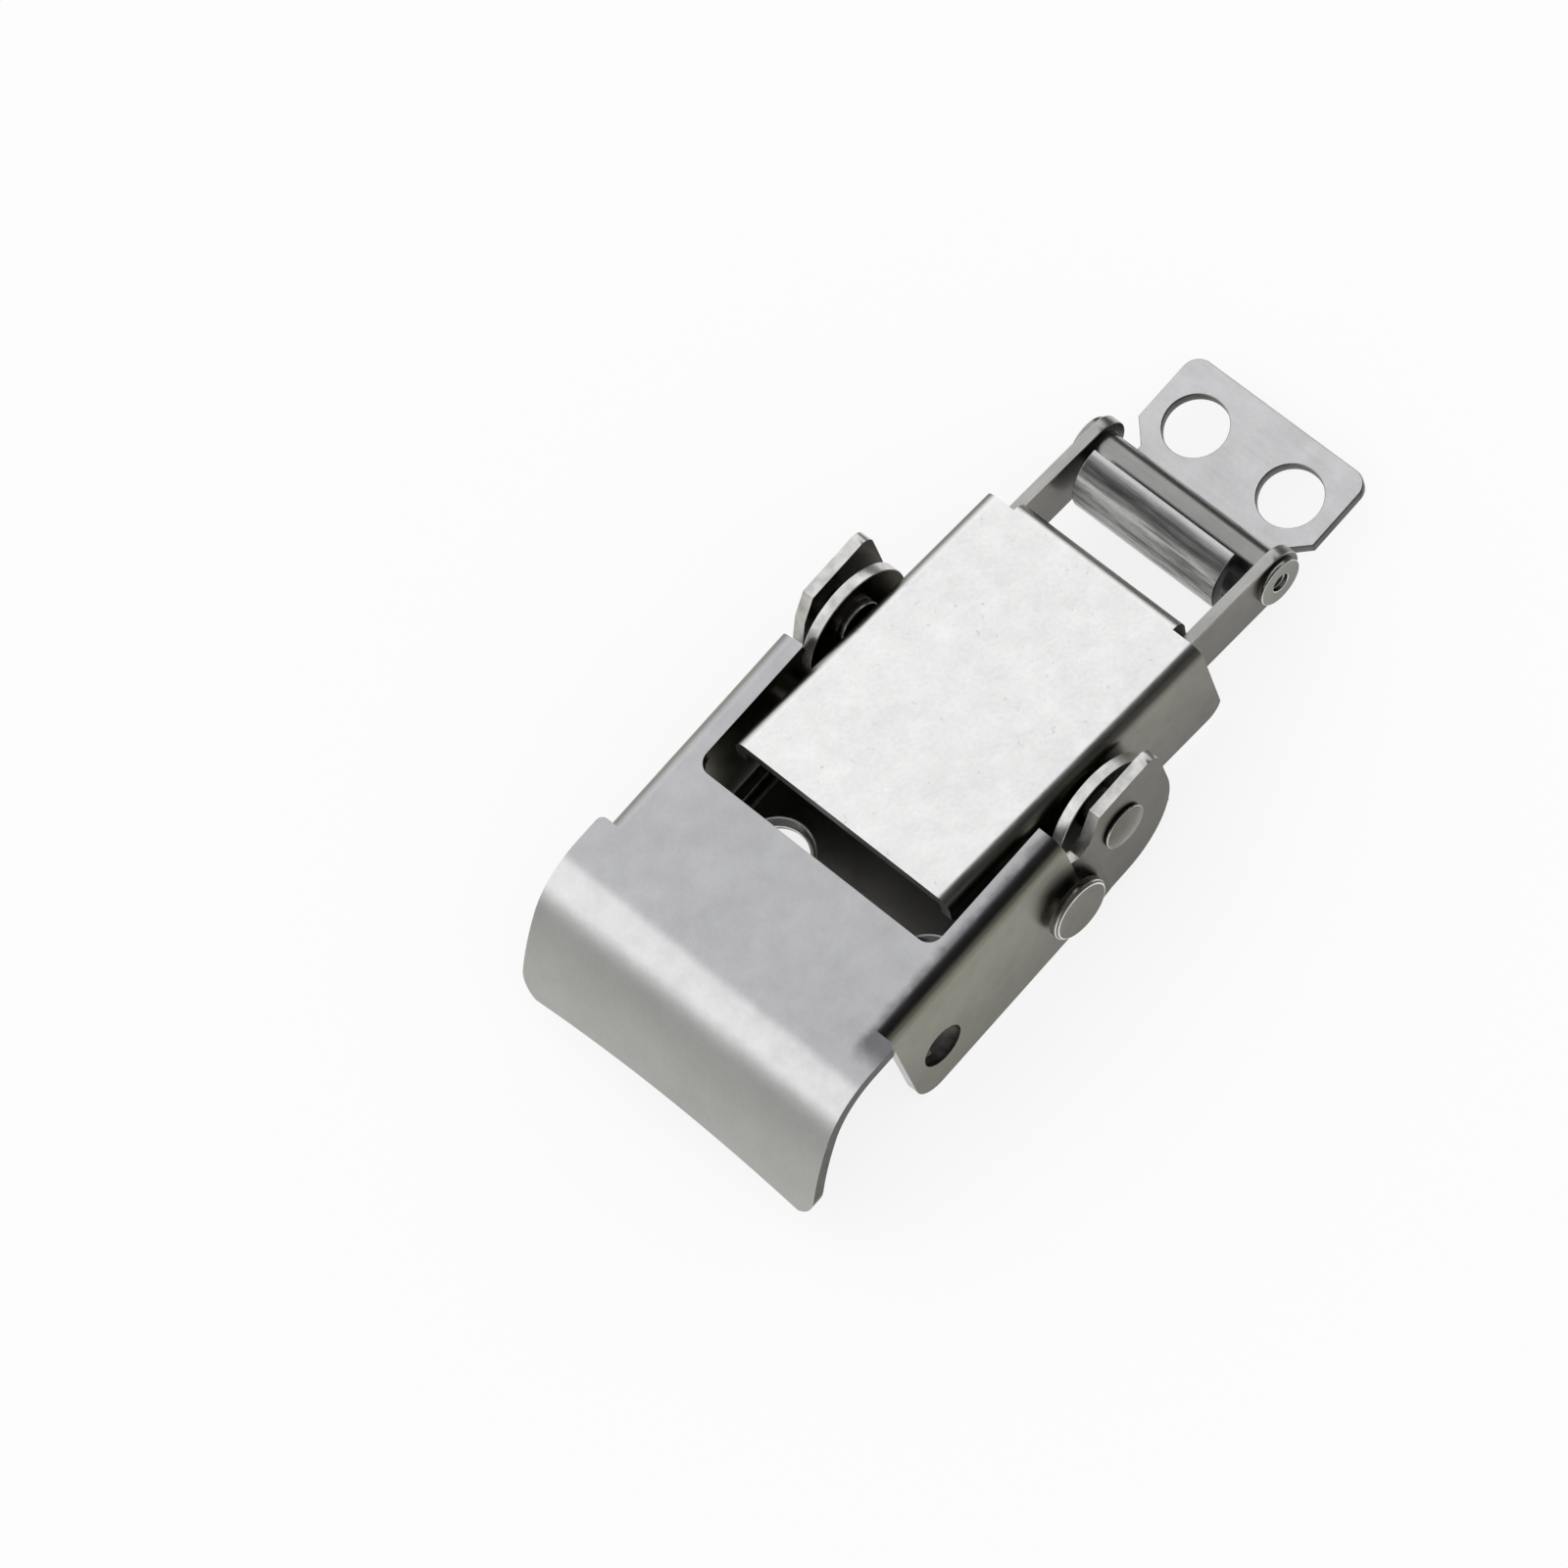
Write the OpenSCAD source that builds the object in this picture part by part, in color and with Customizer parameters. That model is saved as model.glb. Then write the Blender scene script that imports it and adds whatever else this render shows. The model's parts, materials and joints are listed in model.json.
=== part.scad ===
// Spring-loaded toggle latch with a duckbill lever, closed on its catch plate.
// Folded stainless sheet, millimetres, +Z up, handle towards -X, catch towards +X.
// Origin: centre of the four base holes, on the surface that the base is screwed to.

/* [Base] */
// Sheet thickness of the base
base_t = 1.0; // [0.8:0.1:1.2]
// Distance between the front and rear base holes
base_pitch_x = 16.4; // [15:0.1:18]
// Distance between the left and right base holes
base_pitch_y = 15.4; // [13.5:0.1:16]
// Diameter of the base holes
base_hole_d = 5.2; // [4.2:0.1:5.6]
// Sheet left in front of the front base holes, from their centres
base_front_margin = 5.5; // [4:0.1:6]
// Sheet left behind the rear base holes, from their centres
base_rear_margin = 5.2; // [4.5:0.1:6]
// Diameter of the countersinks of the base holes
base_sink_d = 6.3; // [5.8:0.1:6.8]
// Height of the base's low side walls above the mounting surface
base_wall_h = 2.4; // [1.8:0.1:3]
// Radius of the ends of the low side walls
base_wall_r = 1.2; // [0.5:0.1:1.4]
// Radius of each base ear's round outline
ear_r = 5.1; // [4.8:0.05:5.3]
// Depth of the round outline's centre below the lever pivot
ear_drop = 1.2; // [1:0.1:1.6]
// Width cut from the front of each ear's foot, clear of the housing rivet
ear_relief = 0.9; // [0.6:0.1:1.5]
// Inner radius of the bends of the base ears
base_bend_r = 0.5; // [0.2:0.1:1]

/* [Lever pivot] */
// Height of the lever pivot above the mounting surface
pivot_z = 9.2; // [8.6:0.1:10]
// Distance of the lever pivot behind the origin
pivot_x = 8.1; // [7.5:0.1:8.5]
// Diameter of the lever rivet's shank
pivot_pin_d = 3; // [2.4:0.1:3.4]
// Diameter of the lever rivet's heads
pivot_head_d = 3.9; // [3.6:0.1:5]
// Height of the lever rivet's domed outer head
pivot_head_h = 0.55; // [0.3:0.05:0.8]
// Height of the straight rim under that dome
pivot_head_rim = 0.2; // [0.1:0.05:0.25]
// Height of the lever rivet's inner head
pivot_inner_head_h = 0.6; // [0.3:0.1:0.8]

/* [Lever] */
// Sheet thickness of the lever
lever_t = 1.0; // [0.8:0.1:1.2]
// Height of the lever's flat top above the mounting surface
lever_top_z = 13.35; // [13:0.05:14]
// Height of the flanges' lower edge above the mounting surface
flange_low_z = 0.7; // [0.4:0.1:1.5]
// Outward jog of the lever's ears from its flanges
lever_jog = 0.65; // [0.4:0.05:0.9]
// Length of each jog along the lever
lever_jog_len = 1.8; // [1.2:0.1:2.2]
// Gap between a base ear and the lever's ear
lever_ear_gap = 0.85; // [0.8:0.05:1]
// Inner radius of the bends of the flanges
lever_bend_r = 0.4; // [0.2:0.1:0.8]
// Distance from the lever pivot forward to the ends of the top strips
strip_setback = 4.75; // [4.6:0.05:5.4]
// Length of the window from the ends of the strips forward
window_len = 11.9; // [11.5:0.1:13]
// Gap between the spring housing and each strip of the window
window_gap = 1.05; // [0.6:0.05:1.4]
// Radius of the window's front corners
window_r = 1.2; // [0.6:0.1:2]
// Length of the flanges from the ends of the strips forward
flange_len = 19.1; // [18:0.1:21]
// Radius of the flanges' lower front corners
flange_corner_r = 2.2; // [1:0.1:3]
// Depth of the notch between each strip and its ear
notch_depth = 3.3; // [2.5:0.1:4]
// Flat length of the notch's bottom
notch_flat = 0.7; // [0.4:0.1:1.2]
// Length of the notch at the top
notch_len = 3.3; // [2.5:0.1:4]
// Distance from the lever pivot back to the rear edge of the ears
ear_reach = 4.95; // [4.6:0.05:5.5]
// Height of the ears' lower edge above the mounting surface
ear_low_z = 2.7; // [2.2:0.1:3]
// Radius of the ears' lower rear corners
ear_corner_r = 6; // [3:0.1:6]
// Radius of the ears' upper rear corners
ear_top_r = 1.1; // [0.5:0.1:2]
// Diameter of the padlock holes in the flanges
padlock_hole_d = 3.8; // [3:0.1:4.4]
// Distance of the padlock holes behind the flanges' front edge
padlock_setback = 3.5; // [3.2:0.1:5]
// Height of the padlock holes above the mounting surface
padlock_z = 5.1; // [4.2:0.1:6.5]

/* [Lip] */
// How much wider the lip is than the flanges, on each side
lip_flare = 0.65; // [0.2:0.05:1]
// Radius of the lip's rear corners, where it widens from the flanges
lip_shoulder_r = 0.6; // [0.2:0.05:1]
// Flat length between the flanges' front edge and the bend of the lip
lip_flat_len = 2.7; // [2:0.1:4]
// Outer radius of the lip's first bend
lip_r1 = 7.1; // [5:0.1:9]
// Outer radius of the lip's lower curve
lip_r2 = 27; // [22:0.5:32]
// Further angle of the lip's lower curve
lip_a2 = 18.5; // [12:0.5:20]
// Rise of the arched lower edge in the middle
lip_arch = 1.1; // [0.4:0.1:1.5]
// Radius of the lip's lower corners
lip_corner_r = 2.4; // [1:0.1:3]

/* [Spring housing] */
// Sheet thickness of the spring housing
housing_t = 1.0; // [0.8:0.1:1.2]
// Outside width of the spring housing
housing_w = 21.6; // [20.5:0.1:22.5]
// Gap between the spring housing and each base ear
housing_gap = 1.2; // [1.1:0.1:1.5]
// Slope of the spring housing when the latch is closed, down towards the catch
housing_tilt = 7.4; // [6:0.1:7.6]
// Depth of the housing's side walls, from its top
housing_h = 9.95; // [9.6:0.05:10]
// Distance of the housing's top above its own pivot
housing_top = 7.28; // [7:0.02:7.5]
// Length of the housing in front of its pivot
housing_front = 8.26; // [7:0.02:9]
// Length of the housing behind its pivot
housing_rear = 19.07; // [18:0.01:20]
// How far the side walls' lower rear corners stand behind the top's rear edge
housing_rake = 1.15; // [0:0.05:1.4]
// Outer radius of the housing's bends
housing_bend_r = 1.2; // [1.1:0.1:1.3]
// Radius of the side walls' lower rear corners
housing_corner_r = 1.6; // [0.8:0.1:2]
// Length of the slant at the side walls' front edge
wall_slant = 5; // [3:0.5:6]
// Height of the upright nose above that slant
wall_nose = 2.2; // [1.6:0.1:3]
// Outer radius of the rear flange's bend
rear_bend_r = 1.2; // [1.1:0.1:1.3]
// Depth of the rear flange below the housing's top
rear_flange_h = 8.2; // [7.5:0.1:9]

/* [Housing pivot] */
// Distance of the housing pivot in front of the lever pivot
link_dx = 6.2; // [5.9:0.1:6.5]
// Distance of the housing pivot below the lever pivot
link_dz = 3.7; // [3.4:0.1:4]
// Diameter of the housing rivet's shank
link_pin_d = 2.6; // [2.2:0.1:2.8]
// Diameter of the housing rivet's outer head
link_head_d = 5.4; // [4.8:0.1:6]
// Height of the housing rivet's outer head
link_head_h = 0.8; // [0.6:0.1:1.2]
// Bevel round the edge of the housing rivet's outer head
link_head_bevel = 0.2; // [0.1:0.05:0.4]
// Diameter of the collar under the housing rivet's outer head
link_collar_d = 2.9; // [2.8:0.05:2.9]
// Height of the collar under the housing rivet's outer head
link_collar_h = 0.5; // [0.5:0.05:0.7]
// Diameter of the housing rivet's inner head
link_inner_head_d = 4.4; // [4:0.1:4.6]
// Height of the housing rivet's inner head
link_inner_head_h = 1.4; // [1:0.1:1.6]

/* [Draw fork] */
// Sheet thickness of the draw fork
fork_t = 1.0; // [0.8:0.1:1.2]
// Gap between each arm of the fork and the housing's side wall
fork_gap = 0.6; // [0.4:0.1:0.9]
// Height of the fork's arms
fork_h = 4.9; // [4.4:0.1:5.2]
// Depth of the arms' centre line below the housing's top
fork_drop = 4.07; // [3.9:0.01:4.2]
// Distance from the housing's rear edge to the cross pin
pin_reach = 9.5; // [9:0.1:11]
// Gap between the fork's bridge and the housing rivets' inner heads
bridge_gap = 0.3; // [0.2:0.05:0.5]
// Inner radius of the fork's bends
fork_bend_r = 0.8; // [0.4:0.1:1.2]
// Diameter of the cross pin
cross_pin_d = 3.2; // [2.8:0.1:3.4]
// Diameter of the cross pin's peened heads
cross_head_d = 4.1; // [3.8:0.1:4.6]
// Height of the cross pin's peened heads
cross_head_h = 0.5; // [0.3:0.1:0.7]
// Diameter of the recess in each end of the cross pin
cross_recess_d = 1.6; // [1:0.1:2]
// Depth of the recess in each end of the cross pin
cross_recess_h = 0.4; // [0.2:0.1:0.8]

/* [Springs] */
// Mean diameter of the spring coils
coil_d = 4.7; // [4.3:0.1:4.8]
// Wire diameter of the springs
wire_d = 0.9; // [0.7:0.1:1]
// Number of turns of each spring
coil_turns = 8; // [6:1:9]
// Distance between the centre lines of the two springs
spring_pitch = 8; // [7.4:0.1:8.6]
// Gap between each end of a spring and its seat
spring_gap = 0.05; // [0.02:0.01:0.1]
// Diameter of the guide rods inside the springs
rod_d = 2.8; // [2.2:0.1:3]
// Length of the guide rods in front of the bridge
rod_len = 10; // [8:0.5:10.5]
// Diameter of the guide rods' tails, riveted in the bridge
rod_tail_d = 1.8; // [1.4:0.1:2]
// Height of the guide rods' riveted heads
rod_head_h = 0.4; // [0.3:0.1:0.6]

/* [Catch plate] */
// Sheet thickness of the catch plate
catch_t = 1.0; // [0.8:0.1:1.2]
// Height of the catch plate's underside above the mounting surface
catch_z = 2.0; // [1.8:0.1:2.4]
// Distance from the cross pin's axis to the catch holes
catch_reach = 6.2; // [6:0.1:7]
// Distance between the two catch holes
catch_pitch = 9.5; // [9:0.1:10.5]
// Diameter of the catch holes
catch_hole_d = 5.2; // [4.2:0.1:5.6]
// Width of the catch plate at its holes
catch_w = 17.6; // [16.8:0.1:19]
// Gap between each side of the hook and the fork's arm
hook_gap = 1.15; // [0.6:0.05:1.6]
// Sheet left behind the catch holes, from their centres
catch_rear_margin = 4.6; // [4:0.1:6]
// Sheet in front of the catch holes at full width, from their centres
catch_front_margin = 2; // [1.5:0.1:2.2]
// Length of the slanted shoulders towards the neck
catch_shoulder = 1.7; // [1:0.1:2]
// Radius of the catch plate's rear corners
catch_corner_r = 1.4; // [0.6:0.1:2]
// Inner radius of the hook
hook_r = 2.4; // [2.2:0.05:2.6]
// Distance of the hook's centre in front of the cross pin's axis
hook_offset = 1.2; // [0.8:0.05:1.2]

/* [Fits] */
// Gap between the rear flange and each arm of the fork
flange_gap = 0.25; // [0.2:0.05:0.5]
// Radial clearance of a bore that turns on its rivet
running_fit = 0.05; // [0.02:0.01:0.1]
// Radial clearance of a bore that is riveted fast
fixed_fit = 0.02; // [0.01:0.01:0.03]
// Gap under the rivet heads of the parts that turn
head_gap = 0.1; // [0.05:0.01:0.2]

/* [Hidden] */
$fn = 64;
cut = 1;               // how far a cutter runs past the sheet
far = 60;              // longer than the latch is wide

// Side planes, from the housing's wall outwards
housing_y = housing_w / 2;
base_ear_y = housing_y + housing_gap;
lever_ear_y = base_ear_y + base_t + lever_ear_gap;
flange_y = lever_ear_y - lever_jog;
window_y = housing_y + window_gap;
lip_y = flange_y + lever_t + lip_flare;
fork_y = housing_y - housing_t - fork_gap;
hook_y = fork_y - fork_t - hook_gap;

// Places along the latch
base_front = -base_pitch_x / 2 - base_front_margin;
base_rear = base_pitch_x / 2 + base_rear_margin;
strip_end = pivot_x - strip_setback;
window_front = strip_end - window_len;
flange_front = strip_end - flange_len;
lip_start = flange_front - lip_flat_len;
ear_rear = pivot_x + ear_reach;
link_x = pivot_x - link_dx;
link_z = pivot_z - link_dz;
lever_bend_out = lever_bend_r + lever_t;
base_bend_out = base_bend_r + base_t;
// The lip's first bend ends at a slope of 4 in 3, where the lower curve meets it exactly
lip_a1 = atan2(4, 3);

// Places in the housing's own frame, with its pivot as origin
fork_w0 = housing_top - fork_drop;
pin_u = housing_rear + pin_reach;
bridge_u = link_inner_head_d / 2 + bridge_gap;
spring_start = bridge_u + fork_t + spring_gap;
spring_end = housing_rear + rear_bend_r - housing_t - spring_gap;

// The cross pin and the catch plate, in the latch's frame
pin_x = link_x + pin_u * cos(housing_tilt) + fork_w0 * sin(housing_tilt);
catch_hole_x = pin_x + catch_reach;
hook_x = pin_x - hook_offset;
hook_z = catch_z + catch_t + hook_r;

// Sides and steps of the swept spring wire
wire_sides = 8;
turn_steps = 14;

// Flat outline in the XZ plane, w thick across the latch
module across(w) {
    rotate([90, 0, 0])
        linear_extrude(w, center = true)
            children();
}

// Section in the YZ plane, drawn as (y, z), run from x0 to x1
module along(x0, x1) {
    translate([x0, 0, 0])
        rotate([90, 0, 90])
            linear_extrude(x1 - x0)
                children();
}

// Children on both sides of the latch
module both_sides() {
    children();
    mirror([0, 1, 0]) children();
}

// Children in the housing's frame
module in_housing() {
    translate([link_x, 0, link_z])
        rotate([0, housing_tilt, 0])
            children();
}

// Round pin along Y from y0 outwards
module pin_y(d, y0, y1) {
    translate([0, y1, 0])
        rotate([90, 0, 0])
            cylinder(d = d, h = y1 - y0);
}

// Flat head with a bevelled rim, on a pin along Y from y0 outwards
module bevelled_head(d, y0, y1, bevel) {
    pin_y(d, y0, y1 - bevel);
    translate([0, y1 - bevel, 0])
        rotate([-90, 0, 0])
            cylinder(d1 = d, d2 = d - 2 * bevel, h = bevel);
}

// Domed head on a straight rim, on a pin along Y from y0 outwards
module domed_head(d, y0, y1, rim) {
    rise = y1 - y0 - rim;
    dome_r = (d * d / 4 + rise * rise) / (2 * rise);
    intersection() {
        pin_y(d, y0, y1);
        translate([0, y1 - dome_r, 0]) sphere(dome_r);
    }
}

// What is left outside a corner of radius r at the origin, for a corner that points to (sx, sy)
module corner_cut(r, sx, sy) {
    scale_x = sx > 0 ? 0 : 1;
    scale_y = sy > 0 ? 0 : 1;
    mirror([scale_x, 0]) mirror([0, scale_y])
        difference() {
            translate([-r, -r]) square(r + cut);
            translate([-r, -r]) circle(r);
        }
}

// U section open downwards, outer half width y, top z, lower edge z0
module channel_section(y, z, z0, t, r_out) {
    difference() {
        rounded_top(y, z, z0, r_out);
        rounded_top(y - t, z - t, z0 - cut, r_out - t);
    }
}

// Block with two rounded upper corners
module rounded_top(y, z, z0, r) {
    difference() {
        translate([-y, z0]) square([2 * y, z - z0]);
        translate([y, z]) corner_cut(r, 1, 1);
        translate([-y, z]) corner_cut(r, -1, 1);
    }
}

// Screw holes through a flat sheet
module screw_holes(d, points) {
    for (p = points)
        translate([p[0], p[1], p[2] - cut])
            cylinder(d = d, h = base_t + catch_t + 2 * cut);
}

// Base plate with two ears folded up
module base() {
    places = [
        for (sx = [-1, 1], sy = [-1, 1]) [sx * base_pitch_x / 2, sy * base_pitch_y / 2, 0]
    ];
    color("silver") difference() {
        base_channel();
        screw_holes(base_hole_d, places);
        for (p = places)
            translate([p[0], p[1], base_t - (base_sink_d - base_hole_d) / 2])
                cylinder(d1 = base_hole_d, d2 = base_sink_d + 2 * cut,
                    h = (base_sink_d - base_hole_d) / 2 + cut);
        translate([pivot_x, 0, pivot_z])
            pin_y(pivot_pin_d + 2 * fixed_fit, -far, far);
    }
}

// Floor, low side walls and ears in one section, trimmed to the side outline
module base_channel() {
    outer_y = base_ear_y + base_t;
    ear_z = pivot_z - ear_drop;
    top_z = ear_z + ear_r;
    intersection() {
        along(base_front, base_rear)
            translate([0, top_z])
                mirror([0, 1])
                    channel_section(outer_y, top_z, 0, base_t, base_bend_out);
        across(far) {
            base_wall_outline();
            translate([pivot_x, ear_z]) circle(ear_r);
            translate([pivot_x - ear_r + ear_relief, 0])
                square([2 * ear_r - ear_relief, ear_z]);
        }
    }
}

module base_wall_outline() {
    difference() {
        translate([base_front, 0]) square([base_rear - base_front, base_wall_h]);
        translate([base_front, base_wall_h]) corner_cut(base_wall_r, -1, 1);
        translate([base_rear, base_wall_h]) corner_cut(base_wall_r, 1, 1);
    }
}

// Lever: folded sheet with window, flanges, jogged ears and lip
module lever() {
    color("gainsboro") difference() {
        union() {
            lever_channel();
            lever_ears();
            lever_lip();
        }
        lever_window();
        translate([pivot_x, 0, pivot_z])
            pin_y(pivot_pin_d + 2 * running_fit, -far, far);
        translate([link_x, 0, link_z])
            pin_y(link_pin_d + 2 * fixed_fit, -far, far);
        translate([flange_front + padlock_setback, 0, padlock_z])
            pin_y(padlock_hole_d, -far, far);
    }
}

module lever_channel() {
    difference() {
        along(flange_front, strip_end)
            channel_section(flange_y + lever_t, lever_top_z, flange_low_z, lever_t, lever_bend_out);
        across(far)
            translate([flange_front, flange_low_z]) corner_cut(flange_corner_r, -1, -1);
    }
}

// Side outline of an ear, cut from a ribbon that jogs outwards
module lever_ears() {
    intersection() {
        across(far) ear_outline();
        linear_extrude(lever_top_z)
            both_sides() jog_ribbon();
    }
}

module ear_outline() {
    difference() {
        translate([strip_end - lever_t, flange_low_z])
            square([ear_rear - strip_end + lever_t, lever_top_z - flange_low_z]);
        polygon([
            [strip_end - 2 * cut, lever_top_z + cut],
            [strip_end - 2 * cut, lever_top_z - notch_depth],
            [strip_end + notch_flat, lever_top_z - notch_depth],
            [strip_end + notch_len, lever_top_z], [strip_end + notch_len, lever_top_z + cut]
        ]);
        polygon([
            [strip_end, flange_low_z], [strip_end + lever_jog_len, ear_low_z],
            [ear_rear + cut, ear_low_z], [ear_rear + cut, flange_low_z - cut],
            [strip_end, flange_low_z - cut]
        ]);
        translate([ear_rear, ear_low_z]) corner_cut(ear_corner_r, 1, -1);
        translate([ear_rear, lever_top_z]) corner_cut(ear_top_r, 1, 1);
    }
}

// Plan of one flange's end, its jog and its ear
module jog_ribbon() {
    jog_end = strip_end + lever_jog_len;
    polygon([
        [strip_end - lever_t, flange_y], [strip_end, flange_y], [jog_end, lever_ear_y],
        [ear_rear, lever_ear_y], [ear_rear, lever_ear_y + lever_t],
        [jog_end, lever_ear_y + lever_t], [strip_end, flange_y + lever_t],
        [strip_end - lever_t, flange_y + lever_t]
    ]);
}

// Lip: two curves in profile, rounded shoulders, arched lower edge with round corners
module lever_lip() {
    end_a = lip_a1 + lip_a2;
    drop = lip_r1 * (1 - cos(lip_a1)) + lip_r2 * (cos(lip_a1) - cos(end_a));
    low_z = lever_top_z - drop;
    arch_r = (lip_y * lip_y + lip_arch * lip_arch) / (2 * lip_arch);
    difference() {
        lip_sheet();
        translate([lip_start - far, 0, low_z + lip_arch - arch_r])
            rotate([0, 90, 0])
                cylinder(r = arch_r, h = far, $fn = 256);
        along(lip_start - far, lip_start)
            for (sy = [-1, 1])
                translate([sy * lip_y, low_z]) corner_cut(lip_corner_r, sy, -1);
        translate([flange_front, 0, low_z])
            linear_extrude(drop + cut)
                for (sy = [-1, 1])
                    translate([0, sy * lip_y]) corner_cut(lip_shoulder_r, 1, sy);
    }
}

module lip_sheet() {
    r2_x = lip_start - (lip_r1 - lip_r2) * sin(lip_a1);
    r2_z = lever_top_z - lip_r1 + (lip_r1 - lip_r2) * cos(lip_a1);
    across(2 * lip_y)
        translate([lip_start, lever_top_z - lever_t])
            square([flange_front - lip_start, lever_t]);
    across(2 * lip_y)
        translate([lip_start, lever_top_z - lip_r1])
            ring_sector(lip_r1, lever_t, 90, 90 + lip_a1);
    across(2 * lip_y)
        translate([r2_x, r2_z])
            ring_sector(lip_r2, lever_t, 90 + lip_a1, 90 + lip_a1 + lip_a2);
}

// Sector of a flat ring between two angles less than 180 degrees apart
module ring_sector(r_out, t, a0, a1) {
    reach = 2 * r_out;
    mid = (a0 + a1) / 2;
    intersection() {
        difference() {
            circle(r_out, $fn = 128);
            circle(r_out - t, $fn = 128);
        }
        polygon([
            [0, 0], reach * [cos(a0), sin(a0)], reach * [cos(mid), sin(mid)],
            reach * [cos(a1), sin(a1)]
        ]);
    }
}

module lever_window() {
    translate([0, 0, lever_top_z - lever_bend_out])
        linear_extrude(lever_bend_out + cut)
            difference() {
                translate([window_front, -window_y]) square([far, 2 * window_y]);
                for (sy = [-1, 1])
                    translate([window_front, sy * window_y]) corner_cut(window_r, -1, sy);
            }
}

// Short rivet that carries the lever on one base ear; side is 1 on the left, -1 on the right
module lever_rivet(side) {
    inner = base_ear_y;
    outer = lever_ear_y + lever_t + head_gap;
    color("darkgray")
        translate([pivot_x, 0, pivot_z])
            mirror([0, side > 0 ? 0 : 1, 0]) {
                pin_y(pivot_pin_d, inner, outer);
                pin_y(pivot_head_d, inner - pivot_inner_head_h, inner);
                pin_y(pivot_head_d, base_ear_y + base_t, lever_ear_y - head_gap);
                domed_head(pivot_head_d, outer, outer + pivot_head_h, pivot_head_rim);
            }
}

// Collared rivet that carries the housing on one lever flange
module housing_rivet(side) {
    head_y = flange_y + lever_t + link_collar_h;
    color("darkgray")
        translate([link_x, 0, link_z])
            mirror([0, side > 0 ? 0 : 1, 0]) {
                bevelled_head(link_head_d, head_y, head_y + link_head_h, link_head_bevel);
                pin_y(link_collar_d, head_y - link_collar_h, head_y);
                pin_y(link_pin_d, housing_y - housing_t - head_gap, head_y - link_collar_h);
                pin_y(link_inner_head_d, housing_y - housing_t - head_gap - link_inner_head_h,
                    housing_y - housing_t - head_gap);
            }
}

// Spring housing: folded cover with side walls and a rear flange between the fork's arms
module spring_housing() {
    color("whitesmoke") in_housing() difference() {
        union() {
            intersection() {
                along(-housing_front, housing_rear + housing_rake)
                    channel_section(housing_y, housing_top, housing_top - housing_h, housing_t,
                        housing_bend_r);
                across(far) wall_outline();
            }
            rear_flange();
        }
        pin_y(link_pin_d + 2 * running_fit, -far, far);
    }
}

module wall_outline() {
    low = housing_top - housing_h;
    difference() {
        polygon([
            [-housing_front, housing_top], [-housing_front, housing_top - wall_nose],
            [-housing_front + wall_slant, low], [housing_rear + housing_rake, low],
            [housing_rear, housing_top]
        ]);
        translate([housing_rear + housing_rake, low]) corner_cut(housing_corner_r, 1, -1);
    }
}

module rear_flange() {
    half = fork_y - fork_t - flange_gap;
    r = rear_bend_r;
    across(2 * half) {
        translate([housing_rear, housing_top - r])
            ring_sector(r, housing_t, 0, 90);
        translate([housing_rear + r - housing_t, housing_top - rear_flange_h])
            square([housing_t, rear_flange_h - r]);
    }
}

// Compression spring swept along a helix, in the housing's frame
module spring(side) {
    color("gray") in_housing()
        translate([spring_start + wire_d / 2, side * spring_pitch / 2, fork_w0])
            coil(coil_d / 2, wire_d / 2, spring_end - spring_start - wire_d, coil_turns);
}

module coil(r, wire_r, len, turns) {
    steps = turns * turn_steps;
    slope = atan(len / turns / (2 * PI * r));
    points = [
        for (i = [0 : steps])
            let (a = 360 * turns * i / steps, c = [len * i / steps, r * cos(a), r * sin(a)],
                out = [0, cos(a), sin(a)], up = [cos(slope), sin(slope) * sin(a), -sin(slope) * cos(a)])
            for (k = [0 : wire_sides - 1])
                let (b = 360 * k / wire_sides)
                c + wire_r * (cos(b) * out + sin(b) * up)
    ];
    sides = [
        for (i = [0 : steps - 1], k = [0 : wire_sides - 1])
            let (n = (k + 1) % wire_sides, p = i * wire_sides, q = p + wire_sides)
            [p + k, q + k, q + n, p + n]
    ];
    first = [for (k = [0 : wire_sides - 1]) k];
    last = [for (k = [wire_sides - 1 : -1 : 0]) steps * wire_sides + k];
    polyhedron(points, concat([first], sides, [last]));
}

// Rod inside a spring, riveted in the fork's bridge
module guide_rod(side) {
    color("darkgray") in_housing()
        translate([bridge_u, side * spring_pitch / 2, fork_w0])
            rotate([0, 90, 0]) {
                translate([0, 0, fork_t]) cylinder(d = rod_d, h = rod_len);
                cylinder(d = rod_tail_d, h = fork_t);
                translate([0, 0, -rod_head_h]) cylinder(d = rod_d, h = rod_head_h);
            }
}

// Draw fork: one strap folded to a U, with round ends that hold the cross pin
module draw_fork() {
    color("silver") in_housing() difference() {
        intersection() {
            translate([0, 0, fork_w0 - fork_h / 2])
                linear_extrude(fork_h) fork_plan();
            across(far) {
                translate([pin_u, fork_w0]) circle(fork_h / 2);
                translate([0, fork_w0 - fork_h / 2]) square([pin_u, fork_h]);
            }
        }
        translate([pin_u, 0, fork_w0])
            pin_y(cross_pin_d + 2 * fixed_fit, -far, far);
        for (side = [-1, 1])
            translate([bridge_u - cut, side * spring_pitch / 2, fork_w0])
                rotate([0, 90, 0])
                    cylinder(d = rod_tail_d + 2 * fixed_fit, h = fork_t + 2 * cut);
    }
}

// Plan of the strap: two arms joined by the bridge
module fork_plan() {
    length = pin_u + fork_h / 2 - bridge_u;
    difference() {
        u_plan(length, fork_y, fork_bend_r + fork_t, 0);
        u_plan(length + cut, fork_y - fork_t, fork_bend_r, fork_t);
    }
}

module u_plan(length, half, r, start) {
    difference() {
        translate([bridge_u + start, -half]) square([length, 2 * half]);
        for (sy = [-1, 1])
            translate([bridge_u + start, sy * half]) corner_cut(r, -1, sy);
    }
}

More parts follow.
